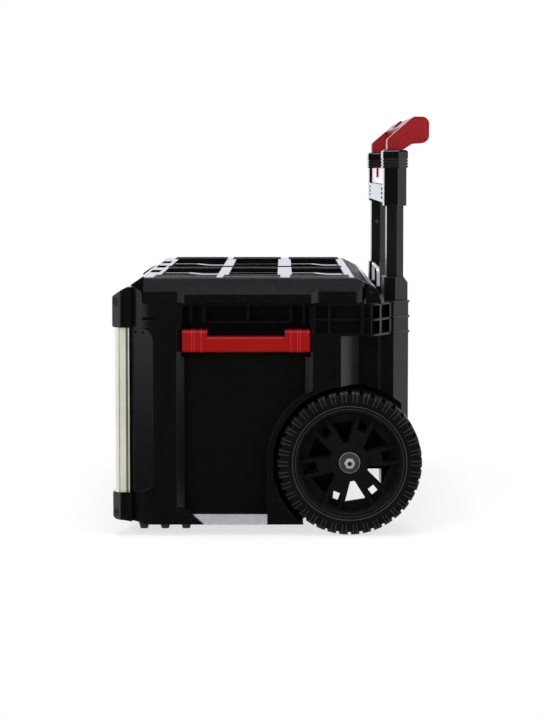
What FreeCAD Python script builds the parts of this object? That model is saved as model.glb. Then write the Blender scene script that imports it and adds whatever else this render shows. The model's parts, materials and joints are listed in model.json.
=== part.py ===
import FreeCAD, Part
import math
import os

os.makedirs("parts", exist_ok=True)

# Rolling storage box. Millimetres, +Z up, +X across the axle, -Y is the front.
# The origin is under the middle of the whole box, on the ground.

# Clearances
fit_gap = 0.05
slip_gap = 0.3
lid_seam = 1.0
past = 1.0

# Wheels and axle
wheel_radius = 100.0
wheel_inner_x = 215.0
wheel_width = 43.0
wheel_y = 106.0
tyre_height = 24.0
rim_lip = 5.0
hub_radius = 26.0
hub_inset = 8.0
spoke_count = 6
spoke_turn = 21.0
spoke_width = 19.0
tread_count = 38
tread_depth = 5.0
bush_radius = 9.0
axle_radius = 6.0
stud_radius = 4.0
washer_radius = 14.4
washer_thickness = 2.0
nut_across = 13.0
nut_height = 6.5
stud_proud = 1.5
shoulder = 9.0
sidewall = 8.0
sidewall_round = 4.0
bead_inset = 2.0
groove_share = 0.28
groove_outer_start = 0.45
groove_inner_end = 0.4
plate_inset = 17.0
plate_thickness = 8.0
ring_step = 3.0
lip_run = 8.0
spoke_root = 6.0
spoke_flare = 4.0
spoke_rise = 6.0
window_gap = 2.0
window_share = 0.7
window_half_angle = 15.0
window_root_half = 3.0
window_round = 1.5
eye_share = 0.5
eye_size = 10.0
hollow_margin = 2.0
hollow_flare = 2.0
hollow_floor = 3.0
spacer_wall = 5.0

# Tub
side_x = 255.0
front_y = -205.0
rim_z = 320.0
floor_z = 15.0
floor_thickness = 5.0
side_wall = 35.0
front_wall = 17.0
rear_wall = 14.0
well_gap = 6.0
well_wall = 5.0
arch_lip = 7.0
axle_cover = 18.0
belly_rise = 16.0
belly_y = 89.0
belly_lean = 8.0
carrier_rib = 6.0
carrier_bays = 8
cavity_radius = 12.0
band_height = 45.0
band_rib = 3.0
band_depth = 8.0
facet_y = 94.0
facet_run = 25.0
facet_depth = 32.0
band_front_round = 6.0
band_run = 46.0
band_bend = 10.0
band_turn = 3.0
band_start = 4.0
upright_first = 22.0
upright_corner = 3.0
upright_column = 5.0
wall_rib = 2.0
shelf_margin = 1.0
shelf_taper = 8.0
shelf_wall = 5.0
shelf_plate = 12.0
core_wall = 8.0
core_outer = 14.0
core_back = 4.0

# Side panel and front pillar
panel_front = -131.0
panel_rear = 55.0
panel_depth = 20.0
panel_slant = 9.5
ledge_z = 27.0
ledge_chamfer = 12.0
flare_run = 34.0
flare_rise = 12.0
scoop_length = 32.5
scoop_depth = 11.0
scoop_radius = 19.0
scoop_lip = 2.0
strip_front_ribs = (18.0, 36.0, 96.0)
strip_rear_ribs = (31.0, 13.0)
strip_rib_depth = 17.0
strip_sill = 2.0
dash_depth = 6.0
dash_start = 18.0
dash_length = 22.0
dash_height = 4.0
dash_drop = 23.0
face_depth = 6.0
face_drop = 40.0
finger_depth = 9.0
finger_below = 10.0
finger_above = 18.0

# Front corners
profile_leg_x = 33.0
profile_leg_y = 20.0
profile_wall = 4.0
profile_bottom = 60.0
profile_top = 287.0
profile_reach = 11.0
profile_side_wall = 5.0
profile_round = 7.0
block_round = 3.0
flute_depth = 2.0
flute_width = 3.5
flute_setback = 1.3
score_depth = 0.8
score_width = 0.8
score_setback = 13.0
cap_inner = 25.0
cap_reach = 15.0
cap_length = 42.0
cap_chamfer = 12.0
cap_bottom = 22.0
upper_cap_height = 57.0
screw_radius = 4.5
screw_length = 16.0
screw_head = 1.8
screw_hex = 1.2
screw_seat = 2.0
screw_recess = 12.0
screw_recess_gap = 1.0
screw_drop = 22.0
screw_raise = 10.0
screw_bury = 4.0
cap_proud = 2.5
cap_taper = 2.0
cap_edge = 1.5
cap_round = 3.0
cap_shoulder = 8.0
cap_crown = 18.0
cap_crown_round = 10.0
cap_brow = 13.0
cap_brow_drop = 6.0
cap_brow_round = 8.0
cap_nose_drop = 15.0
cap_nose_round = 6.0
cap_lift = 2.0
cap_flute_start = 15.2
cap_flute_width = 2.4
cap_flute_depth = 2.0
cap_flute_stop = 2.0
cheek_setback = 15.0
cheek_depth = 9.3
cheek_knee_run = 14.0
cheek_knee_depth = 1.8
cheek_run = 14.0
cheek_round = 60.0

# Feet
foot_x = 200.0
foot_width = 24.0
foot_front = -197.0
foot_length = 84.0
foot_lug = 16.0
foot_lugs = 3
foot_strip = 4.0
foot_taper = 3.0
foot_round = 1.5

# Lid
lid_height = 35.0
lid_plate = 14.0
lid_rear = 127.0
lid_top_front = -179.0
lid_top_rear = 112.0
lid_front_lip = 16.0
lid_side_lip = 15.0
lid_side_slope = 10.0
lid_corner = 15.0
lid_round = 3.0
lid_side_round = 2.0
pad_reach = 10.0
pad_front = -120.0
pad_rear = 53.0
pad_facet = 10.0
pad_lip = 12.0
pad_slope = 14.0
pocket_depth = 8.0
ridge_drop = 2.5
pocket_inner_x = 15.0
pocket_width = 84.0
pocket_ridge = 22.0
ridge_pinch = 7.0
mid_drop = 2.5
mid_margin = 3.0
pocket_spans = ((-157.0, -77.0), (27.0, 101.0))
open_pocket_span = (-62.0, 7.0)
ridge_dip = 4.5
ridge_bend = 12.0
ridge_fall_start = 0.45
ridge_fall_end = 0.7
slot_width = 55.0
slot_length = 14.0
slot_pitch = 110.0
slot_setback = 2.0
seal_width = 5.0
seal_height = 5.0
seal_inset = 2.0

# Lid hinge
hinge_y = 135.0
hinge_rise = 15.5
hinge_rod_radius = 2.5
knuckle_radius = 8.5
lug_thickness = 10.0
lug_inset = 5.0
fin_count = 33
fin_thickness = 3.0
fin_reach = 5.0
fin_rise = 6.25
arm_depth = 8.0
arm_drop = 5.0
lug_half = 7.0
lug_round = 6.9
lug_foot = 8.0
cavity_setback = 27.0

# Front latches
latch_x = 120.0
latch_width = 60.0
latch_length = 44.0
latch_plate = 4.0
latch_barrel = 4.0
latch_pin_radius = 1.6
latch_rise = 5.5
latch_offset = 4.6
latch_lug = 7.0
latch_round = 3.5
latch_bead = 3.0
latch_edge = 1.0
latch_curl = 2.0
latch_curl_height = 8.0

# Side handles
grip_bar_z = 253.0
grip_bar_height = 22.0
grip_bar_depth = 18.0
grip_bar_inset = 15.0
grip_block = 34.0
grip_block_rise = 9.0
grip_end_gap = 4.0
grip_pin_radius = 3.0
grip_pin_length = 22.0
grip_pin_drop = 7.0
grip_pin_inset = 12.0
grip_room_below = 7.0
grip_room_above = 9.5
grip_room_behind = 7.0
grip_bar_round = 6.0
grip_bar_inner_round = 5.0
grip_block_round = 7.0
grip_block_inner_round = 3.0

# Telescopic handle
tube_x = 190.0
tube_y = 171.0
outer_tube_x = 30.0
outer_tube_y = 24.0
tube_wall = 1.5
tube_chamfer = 10.0
tube_foot_z = 64.0
column_half = 31.0
column_reach = 19.0
column_front = 19.0
column_chamfer = 22.0
column_foot = 4.0
column_rib = 1.5
socket_half = 21.0
socket_front = 16.0
socket_height = 33.0
socket_chamfer = 18.0
sleeve_z = 452.0
sleeve_height = 53.0
sleeve_skin = 4.0
collar_height = 25.0
collar_skin = 6.0
collar_groove = 1.2
collar_groove_height = 1.4
collar_groove_pitch = 4.2
collar_grooves = 3
collar_round = 4.0
inner_tube_foot = 12.0
handle_lift = 320.0
brace_depth = 14.0
brace_low = 25.0
brace_high = 24.0
brace_notch_width = 60.0
brace_notch_height = 14.0
brace_notch_depth = 5.0
brace_slot_start = 6.0
brace_slot_length = 28.0
brace_slot_depth = 5.0
brace_panel_inset = 25.0
brace_panel_setback = 3.0
socket_rear_gap = 0.5
socket_top_run = 7.0
socket_top_drop = 10.0
grip_arm = 30.0
grip_rise = 46.0
grip_reach = 46.5
grip_foot_front = 11.5
grip_foot_rear = 11.0
grip_slope_rise = 14.5
grip_slope_round = 5.0
grip_slope_run = 25.0
grip_brow_round = 7.0
grip_crown_round = 10.0
grip_heel_rise = 9.5
grip_heel_round = 11.0
grip_under_run = 23.0
grip_under_drop = 1.5
grip_under_round = 6.0
grip_bar_front = 10.0
grip_bar_under = 26.0
grip_bar_under_rise = 14.0
grip_plug = 20.0
button_width = 50.0
button_length = 13.0
button_height = 9.0
button_proud = 2.5
button_travel = 4.0
plunger_radius = 2.8
plunger_setback = 3.0
plunger_travel = 3.0
plunger_z = 22.0
plunger_block = 26.0

# Rear grab arch
arch_half = 66.0
arch_top = 38.0
arch_bar = 4.0
arch_y = 155.5
arch_radius = 10.0
boss_height = 10.0
boss_skin = 4.0
boss_draft = 1.5


def vec(x, y, z):
    return FreeCAD.Vector(x, y, z)


def outline_wire(points, place):
    # Closed outline of straight runs; a third number at a point rounds that corner.
    flat = [vec(p[0], p[1], 0) for p in points]
    radii = [p[2] if len(p) > 2 else 0.0 for p in points]
    starts, ends, edges = [], [], []
    arcs = {}
    for i, here in enumerate(flat):
        back = (flat[i - 1] - here).normalize()
        ahead = (flat[(i + 1) % len(flat)] - here).normalize()
        half = back.getAngle(ahead) / 2
        reach = radii[i] / math.tan(half)
        starts.append(here + back * reach)
        ends.append(here + ahead * reach)
        if radii[i] > 0:
            inward = (back + ahead).normalize()
            arcs[i] = here + inward * (radii[i] / math.sin(half) - radii[i])
    for i in range(len(flat)):
        if i in arcs:
            a, m, b = (place(q.x, q.y) for q in (starts[i], arcs[i], ends[i]))
            edges.append(Part.Arc(a, m, b).toShape())
        following = starts[(i + 1) % len(flat)]
        if (following - ends[i]).Length > 1e-6:
            edges.append(Part.makeLine(place(ends[i].x, ends[i].y), place(following.x, following.y)))
    return Part.Wire(edges)


def prism_x(points, x0, x1):
    wire = outline_wire(points, lambda y, z: vec(x0, y, z))
    return Part.Face(wire).extrude(vec(x1 - x0, 0, 0))


def prism_y(points, y0, y1):
    wire = outline_wire(points, lambda x, z: vec(x, y0, z))
    return Part.Face(wire).extrude(vec(0, y1 - y0, 0))


def prism_z(points, z0, z1):
    wire = outline_wire(points, lambda x, y: vec(x, y, z0))
    return Part.Face(wire).extrude(vec(0, 0, z1 - z0))


def box(x0, x1, y0, y1, z0, z1):
    return Part.makeBox(x1 - x0, y1 - y0, z1 - z0, vec(x0, y0, z0))


def rod_x(y, z, radius, x0, x1):
    return Part.makeCylinder(radius, x1 - x0, vec(x0, y, z), vec(1, 0, 0))


def rod_y(x, z, radius, y0, y1):
    return Part.makeCylinder(radius, y1 - y0, vec(x, y0, z), vec(0, 1, 0))


def mirrored(shape):
    return shape.mirror(vec(0, 0, 0), vec(1, 0, 0))


def both(shapes):
    return list(shapes) + [mirrored(s) for s in shapes]


def symmetric(points):
    # Whole outline from its right half, listed from the front to the back.
    return list(points) + [(-p[0],) + tuple(p[1:]) for p in reversed(points)]


# How much a 45 degree corner cut grows when the outline moves out by one
corner_growth = 2 - math.sqrt(2)


def ringed(x, y, half_x, front, rear, chamfer):
    # Section of a tube or column: flat front, chamfered rear corners.
    return [
        (x - half_x, y - front),
        (x + half_x, y - front),
        (x + half_x, y + rear - chamfer),
        (x + half_x - chamfer, y + rear),
        (x - half_x + chamfer, y + rear),
        (x - half_x, y + rear - chamfer),
    ]


def tube_section(grow):
    return ringed(tube_x, tube_y, outer_tube_x / 2 + grow, outer_tube_y / 2 + grow,
                  outer_tube_y / 2 + grow, tube_chamfer + grow * corner_growth)


def save(name, shapes):
    solids = [solid for shape in shapes for solid in shape.removeSplitter().Solids]
    whole = solids[0] if len(solids) == 1 else Part.makeCompound(solids)
    whole.exportStep("parts/" + name + ".step")


def save_pair(name, shapes):
    save(name + "_right", shapes)
    save(name + "_left", [mirrored(s) for s in shapes])


# Places that several pieces share
axle_z = wheel_radius
wheel_outer_x = wheel_inner_x + wheel_width
hub_outer_x = wheel_outer_x - hub_inset
well_x = wheel_inner_x - well_gap
well_radius = wheel_radius + well_gap
lip_radius = well_radius + arch_lip
lid_base = rim_z + lid_seam
lid_top = rim_z + lid_height
hinge_z = rim_z + hinge_rise
cavity_half = side_x - side_wall
cavity_front = front_y + front_wall
cavity_rear = hinge_y - cavity_setback
cavity_floor = floor_z + floor_thickness
narrow_half = well_x - well_wall
step_z = axle_z + axle_cover
well_top = axle_z + lip_radius
belly_z = axle_z - belly_rise
band_z = rim_z - band_height
panel_x = side_x - panel_depth
column_rear = tube_y + column_reach
column_foot_z = tube_foot_z - column_foot
cap_x = side_x - cap_inner
cap_outer = side_x + cap_proud
cap_front = front_y - cap_reach
cap_rear = cap_front + cap_length
upper_top = profile_top + upper_cap_height
profile_front = front_y - profile_reach
tube_top = sleeve_z + sleeve_height
collar_top = tube_top + collar_height

# Tub: one open moulding with a raised rear belly, wheel wells and two tube columns
column_plan = ringed(tube_x, tube_y, column_half, column_front, column_reach, column_chamfer)
facet_x = side_x - facet_depth
corner_block_x = side_x - profile_side_wall
corner_block_y = profile_front + profile_wall
scoop_front = profile_front + profile_leg_y
shelf_rear = arch_y + arch_bar / 2 + boss_skin + shelf_margin
corner_y = column_rear - column_chamfer - band_turn
body_plan = symmetric([
    (side_x - profile_leg_x, front_y),
    (side_x - profile_leg_x, corner_block_y),
    (corner_block_x, corner_block_y, block_round),
    (corner_block_x, scoop_front),
    (side_x, scoop_front),
    (side_x, facet_y),
    (facet_x, facet_y + facet_run),
    (facet_x, tube_y - column_front),
])
band_plan = symmetric([
    (side_x - profile_leg_x, front_y),
    (side_x, front_y, band_front_round),
    (side_x, facet_y + band_run, band_bend),
    (tube_x + column_half, corner_y),
    (tube_x + column_half, column_rear - column_chamfer),
    (tube_x + column_half - column_chamfer, column_rear),
    (tube_x - column_half + column_chamfer, column_rear),
    (tube_x - column_half, column_rear - column_chamfer),
    (tube_x - column_half - shelf_taper, shelf_rear),
])
tub = prism_z(body_plan, floor_z, profile_top)
columns = [prism_z(column_plan, column_foot_z, band_z)]
rib_y = tube_y - column_front - upright_column
columns.append(prism_z([
    (facet_x - past, rib_y - wall_rib),
    (facet_x + wall_rib, rib_y),
    (facet_x + wall_rib, rib_y + wall_rib / 2),
    (facet_x - past, rib_y + wall_rib + past),
], axle_z, band_z))
tub = tub.fuse(both(columns) + [prism_z(band_plan, band_z, rim_z)])

# Room inside: deep at the front, a step over the axle, narrow between the wheels
wide_front = box(-cavity_half, cavity_half, cavity_front, wheel_y - lip_radius - well_wall,
                 cavity_floor, rim_z + past)
cavity_plan = symmetric([
    (cavity_half, cavity_front, cavity_radius),
    (cavity_half, cavity_rear, cavity_radius),
])
upper_room = prism_z(cavity_plan, well_top + well_wall, rim_z + past)
deep_room = box(-narrow_half, narrow_half, cavity_front, belly_y - belly_lean - rear_wall,
                cavity_floor, well_top + well_wall + past)
step_room = box(-narrow_half, narrow_half, cavity_front, cavity_rear, step_z, well_top + well_wall + past)
rear_recess = box(-tube_x + column_half, tube_x - column_half, cavity_rear + rear_wall,
                  column_rear + past, -1, band_z - 2 * band_rib)
column_core = box(tube_x - column_half + core_wall, tube_x + column_half - core_outer, cavity_rear + core_wall,
                  tube_y - column_front - core_back, floor_z - past, band_z)
belly = prism_x([
    (belly_y - belly_lean, floor_z - past),
    (belly_y, belly_z),
    (tube_y - column_front, belly_z),
    (tube_y - column_front, floor_z - past),
], -side_x, side_x)
tube_bore = prism_z(tube_section(slip_gap), tube_foot_z, rim_z + past)
shelf_core = box(-tube_x + column_half + shelf_wall, tube_x - column_half - shelf_wall,
                 cavity_rear + rear_wall, shelf_rear - shelf_wall, band_z - shelf_plate, rim_z - shelf_plate)
tub = tub.cut([wide_front, upper_room, deep_room, step_room, rear_recess, shelf_core, belly])
rib_bay = 2 * (narrow_half - carrier_rib) / carrier_bays
for bay in range(carrier_bays):
    bay_x = -narrow_half + carrier_rib + bay * rib_bay
    tub = tub.cut(box(bay_x, bay_x + rib_bay - carrier_rib, belly_y + carrier_rib, cavity_rear + core_wall,
                      belly_z - past, step_z - floor_thickness))
tub = tub.cut(both([column_core, tube_bore]))

# Side panel with its arch lip, the wheel well and the handle's room
reach_x = side_x + past
panel_plan = [
    (panel_x, panel_front + panel_slant),
    (side_x - panel_slant, panel_front + panel_slant),
    (reach_x, panel_front - past),
    (reach_x, panel_rear + past),
    (side_x - panel_slant, panel_rear - panel_slant),
    (panel_x, panel_rear - panel_slant),
]
grip_top = grip_bar_z + grip_bar_height + grip_block_rise
grip_front = panel_front + 2 * grip_end_gap
grip_rear = panel_rear - grip_end_gap
room_x = side_x - grip_bar_inset - grip_room_behind
panel = prism_z(panel_plan, ledge_z, grip_top)
ledge = prism_y([
    (side_x - ledge_chamfer, ledge_z),
    (reach_x, ledge_z - ledge_chamfer - past),
    (reach_x, ledge_z),
], panel_front + panel_slant, wheel_y - lip_radius)
flare = prism_x([
    (panel_front - panel_slant, floor_z - past),
    (panel_front + panel_slant / 2, ledge_z + flare_rise),
    (panel_front + panel_slant / 2 + flare_run, floor_z - past),
], panel_x, reach_x)
arch = rod_x(wheel_y, axle_z, lip_radius, panel_x - past, reach_x)
arch_post = box(panel_x - past, reach_x, wheel_y - lip_radius, wheel_y, floor_z - past, axle_z)
panel = panel.fuse(ledge).cut([flare, arch, arch_post])
grip_room = box(room_x, reach_x, grip_front - grip_end_gap / 2, grip_rear + grip_end_gap / 2,
                grip_bar_z - grip_room_below, grip_top + grip_room_above)
well = rod_x(wheel_y, axle_z, well_radius, well_x, reach_x)
well_below = box(well_x, reach_x, wheel_y, column_rear + past, -1, axle_z)
tub = tub.cut(both([panel, grip_room, well, well_below]))

# Ribbed band: shallow cells between upright and level ribs, under the lid's edge
band_ring = prism_z(band_plan, band_z, rim_z)
inner_face = Part.Face(outline_wire(band_plan, lambda x, y: vec(x, y, band_z)))
inner_band = inner_face.makeOffset2D(-band_depth).extrude(vec(0, 0, band_height))
band_ring = band_ring.cut(inner_band)
cell_height = (band_height - 3 * band_rib) / 2
uprights = [box(0, reach_x, y, y + band_rib, band_z, rim_z)
            for y in (panel_rear + upright_first, facet_y + facet_run + upright_corner, rib_y)]
cells = []
for row in range(2):
    low = band_z + band_rib + row * (cell_height + band_rib)
    slab = box(tube_x, reach_x, panel_rear + band_start, corner_y - band_rib, low, low + cell_height)
    cells += band_ring.common(slab).cut(uprights).Solids
tub = tub.cut(both(cells))
rib_plan = ringed(tube_x, tube_y, column_half + column_rib, column_front, column_reach + column_rib,
                  column_chamfer + column_rib * corner_growth)
column_ribs = []
for row in range(3):
    low = band_z + row * (cell_height + band_rib)
    rib = prism_z(rib_plan, low, low + band_rib)
    column_ribs.append(rib.cut(prism_z(column_plan, low, low + band_rib)))
tub = tub.fuse(both(column_ribs))
strip_top = rim_z - band_rib
strip = box(panel_x, reach_x, grip_front, grip_rear, grip_top, strip_top)
strip_rib_places = [panel_front + step for step in strip_front_ribs]
strip_rib_places += [panel_rear - step for step in strip_rear_ribs]
strip_face = panel_x + strip_rib_depth
strip_ribs = [box(panel_x - past, strip_face, y, y + band_rib, grip_top - past, rim_z)
              for y in strip_rib_places]
sill_z = grip_top + grip_room_above
sill = box(panel_x - past, strip_face, strip_rib_places[1], strip_rib_places[-2], sill_z, sill_z + strip_sill)
strip = strip.cut(strip_ribs + [sill])
dash = box(side_x - dash_depth, reach_x, scoop_front + dash_start, scoop_front + dash_start + dash_length,
           rim_z - dash_drop, rim_z - dash_drop + dash_height)
tub = tub.cut(both([strip, dash]))

# Front pillars: scooped side, seats for the corner caps, a framed front panel
scoop = prism_z([
    (side_x - scoop_depth, scoop_front - past),
    (reach_x, scoop_front - past),
    (reach_x, scoop_front + scoop_length),
    (side_x - scoop_lip, scoop_front + scoop_length),
], profile_bottom, profile_top)
scoop = scoop.common(prism_x([
    (scoop_front - past, profile_bottom),
    (scoop_front + scoop_length, profile_bottom, scoop_radius),
    (scoop_front + scoop_length, profile_top, scoop_radius),
    (scoop_front - past, profile_top),
], cavity_half, reach_x))
cap_seats = [
    box(cap_x, reach_x, cap_front, cap_rear, profile_top, rim_z + past),
    box(cap_x, reach_x, cap_front, cap_rear, floor_z - past, profile_bottom),
]
cap_seats.append(box(side_x - profile_leg_x - past, cap_x, cap_front, front_y, floor_z - past, profile_bottom))
cap_seats.append(box(corner_block_x, reach_x, cap_front, scoop_front, band_z, profile_top))
cheek_front = cap_rear - cheek_setback
cheek_plan = [
    (cap_outer - cheek_depth, cheek_front),
    (side_x - cheek_knee_depth, cheek_front + cheek_knee_run, cheek_round),
    (side_x, cap_rear + cheek_run),
    (cap_outer + past, cap_rear + cheek_run),
    (cap_outer + past, cheek_front),
]
cheeks = [
    prism_z(cheek_plan, profile_top, upper_top + past),
    prism_z(cheek_plan, floor_z - past, profile_bottom),
]
front_edge = prism_x([
    (cap_front, floor_z - past),
    (cap_front, cap_bottom),
    (front_y, cap_bottom),
    (cavity_front, floor_z - past),
], -side_x, side_x)
front_panel = box(-latch_x - latch_width, latch_x + latch_width, front_y - past, front_y + face_depth,
                  profile_bottom, profile_top - face_drop)
finger_room = box(latch_x - latch_width / 2, latch_x + latch_width / 2, front_y - past, front_y + finger_depth,
                  rim_z - latch_length - finger_below, rim_z - latch_length + finger_above)
tub = tub.cut(both([scoop] + cap_seats + cheeks + [finger_room]) + [front_edge, front_panel])

# Holes and lugs that carry the axle, the hinge rod, the handle pins and the cap screws
axle_hole = rod_x(wheel_y, axle_z, axle_radius + fit_gap, -well_x - past, well_x + past)
hinge_lug_x = side_x - lug_inset - lug_thickness
lug = prism_x([
    (hinge_y - lug_half, rim_z - past),
    (hinge_y - lug_half, hinge_z + lug_half, lug_round),
    (hinge_y + lug_half, hinge_z + lug_half, lug_round),
    (hinge_y + lug_half + lug_foot, rim_z - past),
], hinge_lug_x, hinge_lug_x + lug_thickness)
boss_half = arch_bar / 2 + boss_skin
boss = prism_x([
    (arch_y - boss_half, rim_z - past),
    (arch_y - boss_half + boss_draft, rim_z + boss_height),
    (arch_y + boss_half - boss_draft, rim_z + boss_height),
    (arch_y + boss_half, rim_z - past),
], arch_half - arch_bar - boss_skin, arch_half + boss_skin)
boss = boss.cut(box(arch_half - arch_bar - fit_gap, arch_half + fit_gap, arch_y - arch_bar / 2 - fit_gap,
                    arch_y + arch_bar / 2 + fit_gap, rim_z, rim_z + boss_height + past))
rod_hole = rod_x(hinge_y, hinge_z, hinge_rod_radius + fit_gap, -side_x, side_x)
grip_pin_x = side_x - grip_pin_inset
grip_pin_z = grip_top - grip_pin_drop
pin_holes = [
    rod_y(grip_pin_x, grip_pin_z, grip_pin_radius + fit_gap,
          grip_front - grip_pin_length / 2 - past, grip_front),
    rod_y(grip_pin_x, grip_pin_z, grip_pin_radius + fit_gap,
          grip_rear, grip_rear + grip_pin_length / 2 + past),
]
tub = tub.fuse(both([lug, boss])).cut([axle_hole, rod_hole] + both(pin_holes))
save("tub", [tub])

# Lid hinge rod, axle and the pins of the side handles
save("hinge_rod", [rod_x(hinge_y, hinge_z, hinge_rod_radius, -side_x + lug_inset, side_x - lug_inset)])
stud_start = hub_outer_x + slip_gap
stud_end = stud_start + washer_thickness + nut_height + stud_proud
axle = rod_x(wheel_y, axle_z, axle_radius, -stud_start, stud_start)
axle = axle.fuse(rod_x(wheel_y, axle_z, stud_radius, -stud_end, stud_end))
save("axle", [axle])
pins = [
    rod_y(grip_pin_x, grip_pin_z, grip_pin_radius, grip_front - grip_pin_length / 2,
          grip_front + grip_pin_length / 2),
    rod_y(grip_pin_x, grip_pin_z, grip_pin_radius, grip_rear - grip_pin_length / 2,
          grip_rear + grip_pin_length / 2),
]
save_pair("side_handle_pins", pins)

# Front corners: aluminium angle with flutes, a cap at each end, one screw in each cap
profile = prism_z([
    (side_x - profile_leg_x, profile_front),
    (side_x, profile_front, profile_round),
    (side_x, scoop_front),
    (corner_block_x, scoop_front),
    (corner_block_x, corner_block_y, block_round),
    (side_x - profile_leg_x, corner_block_y),
], profile_bottom, profile_top)
flute_rear = scoop_front - flute_setback
score_rear = scoop_front - score_setback
flutes = [
    box(side_x - flute_depth, reach_x, flute_rear - flute_width, flute_rear,
        profile_bottom - past, profile_top + past),
    box(side_x - score_depth, reach_x, score_rear - score_width, score_rear,
        profile_bottom - past, profile_top + past),
]
save_pair("corner_profile", [profile.cut(flutes)])


def corner_cap(side_outline, z0, z1):
    plan = [
        (side_x - profile_leg_x, front_y),
        (side_x - profile_leg_x, cap_front + cap_taper, cap_edge),
        (cap_outer - cap_chamfer, cap_front, cap_round),
        (cap_outer, cap_front + cap_chamfer, cap_round),
        (cap_outer, cap_rear),
        (cap_x, cap_rear),
        (cap_x, front_y),
    ]
    body = prism_z(plan, z0, z1)
    return body.common(prism_x(side_outline, side_x - profile_leg_x, cap_outer))


upper_outline = [
    (cap_rear, profile_top),
    (cap_rear, upper_top - cap_shoulder, cap_shoulder),
    (cap_rear - cap_crown, upper_top, cap_crown_round),
    (cap_front + cap_brow, upper_top - cap_brow_drop, cap_brow_round),
    (cap_front, upper_top - cap_nose_drop, cap_nose_round),
    (cap_front, profile_top, cap_round),
]
lower_outline = [
    (cap_rear, profile_bottom),
    (cap_front, profile_bottom, cap_round),
    (cap_front, cap_bottom, cap_nose_round),
    (front_y, cap_bottom),
    (cap_rear, floor_z + cap_lift),
]
screw_y = cap_front + cap_chamfer / 2
screw_x = cap_outer - cap_chamfer / 2
inward = vec(-1, 1, 0).normalize()
screw_heights = (upper_top - screw_drop, cap_bottom + screw_raise)
caps = [corner_cap(upper_outline, profile_top, upper_top),
        corner_cap(lower_outline, floor_z, profile_bottom)]
flute_front = cap_front + cap_flute_start
flute_spans = ((profile_top - past, upper_top - cap_nose_drop - cap_flute_stop),
               (cap_bottom + cap_nose_round + cap_flute_stop, profile_bottom + past))
screws = []
for index, height in enumerate(screw_heights):
    low, high = flute_spans[index]
    face_point = vec(screw_x, screw_y, height)
    seat = face_point + inward * screw_seat
    head_point = seat - inward * screw_head
    caps[index] = caps[index].cut([
        cheeks[index],
        box(cap_outer - cap_flute_depth, cap_outer + past, flute_front, flute_front + cap_flute_width,
            low, high),
        Part.makeCylinder(screw_radius + screw_recess_gap, screw_recess, seat - inward * screw_recess, inward),
        Part.makeCylinder(screw_radius / 2 + fit_gap, screw_length, face_point, inward),
    ])
    head = Part.makeCylinder(screw_radius, screw_head, head_point, inward)
    socket = Part.makeCylinder(screw_radius / 2, screw_hex, head_point, inward)
    shank_point = head_point + inward * screw_hex
    shank = Part.makeCylinder(screw_radius / 2, screw_length - screw_bury, shank_point, inward)
    screws.append(head.cut(socket).fuse(shank))
save_pair("upper_corner_cap", [caps[0]])
save_pair("lower_corner_cap", [caps[1]])
save("cap_screws", both(screws))

# Feet: a strip under each front corner with lugs that carry the front
foot = box(foot_x - foot_width / 2, foot_x + foot_width / 2, cavity_front, foot_front + foot_length,
           floor_z - foot_strip, floor_z)
lug_pitch = (foot_front + foot_length - cavity_front - foot_lug) / (foot_lugs - 1)
for index in range(foot_lugs):
    lug_front = cavity_front + index * lug_pitch
    foot = foot.fuse(prism_x([
        (lug_front, floor_z - foot_strip),
        (lug_front + foot_taper, 0, foot_round),
        (lug_front + foot_lug - foot_taper, 0, foot_round),
        (lug_front + foot_lug, floor_z - foot_strip),
    ], foot_x - foot_width / 2, foot_x + foot_width / 2))
save_pair("front_foot", [foot])

# Lid: a hollow tray lid with sloped edges, side pads, top pockets and rear fins
lid_side = prism_x([
    (front_y, lid_base),
    (front_y, lid_base + lid_front_lip, lid_round),
    (lid_top_front, lid_top, lid_round),
    (lid_top_rear, lid_top),
    (lid_rear, lid_top - lid_plate / 2),
    (lid_rear, lid_base),
], -side_x, side_x)
lid_end = prism_y(symmetric([
    (side_x, lid_base),
    (side_x, lid_base + lid_side_lip, lid_side_round),
    (side_x - lid_side_slope, lid_top, lid_side_round),
]), front_y, lid_rear)
lid_plan = prism_z(symmetric([
    (side_x, front_y, lid_corner / 2),
    (side_x, lid_rear, lid_corner),
]), lid_base, lid_top)
lid = lid_side.common(lid_end).common(lid_plan)
pad = prism_z([
    (cavity_half + past, pad_front - pad_facet),
    (side_x, pad_front - pad_facet),
    (side_x + pad_reach, pad_front),
    (side_x + pad_reach, pad_rear),
    (side_x, pad_rear + pad_facet),
    (cavity_half + past, pad_rear + pad_facet),
], lid_base, lid_top)
pad = pad.common(prism_y([
    (cavity_half, lid_base),
    (side_x + pad_reach, lid_base),
    (side_x + pad_reach, lid_base + pad_lip),
    (side_x - pad_slope / 2, lid_base + pad_lip + pad_slope),
    (cavity_half, lid_base + pad_lip + pad_slope),
], front_y, lid_rear))
lid = lid.fuse(both([pad]))

# Pockets in the top, lower ridges between them, slots behind the front edge
pocket_outer_x = pocket_inner_x + 2 * pocket_width + pocket_ridge
top_cuts = []
for low, high in pocket_spans:
    top_cuts.append(prism_x([
        (low, lid_top - ridge_drop),
        (low + ridge_fall_start * (high - low), lid_top - ridge_drop, ridge_bend),
        (low + ridge_fall_end * (high - low), lid_top - ridge_dip, ridge_bend),
        (high, lid_top - ridge_dip),
        (high, lid_top + past),
        (low, lid_top + past),
    ], pocket_inner_x, pocket_outer_x))
    middle = low + ridge_fall_start * (high - low)
    for start, pinch in ((pocket_inner_x, ridge_pinch), (pocket_outer_x - pocket_width, -ridge_pinch)):
        top_cuts.append(box(start, start + pocket_width, low, high, lid_top - pocket_depth, lid_top + past))
        top_cuts.append(box(start + pinch, start + pinch + pocket_width, low, middle,
                            lid_top - pocket_depth, lid_top + past))
top_cuts.append(box(pocket_inner_x, pocket_outer_x, open_pocket_span[0], open_pocket_span[1],
                    lid_top - pocket_depth, lid_top + past))
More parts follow.
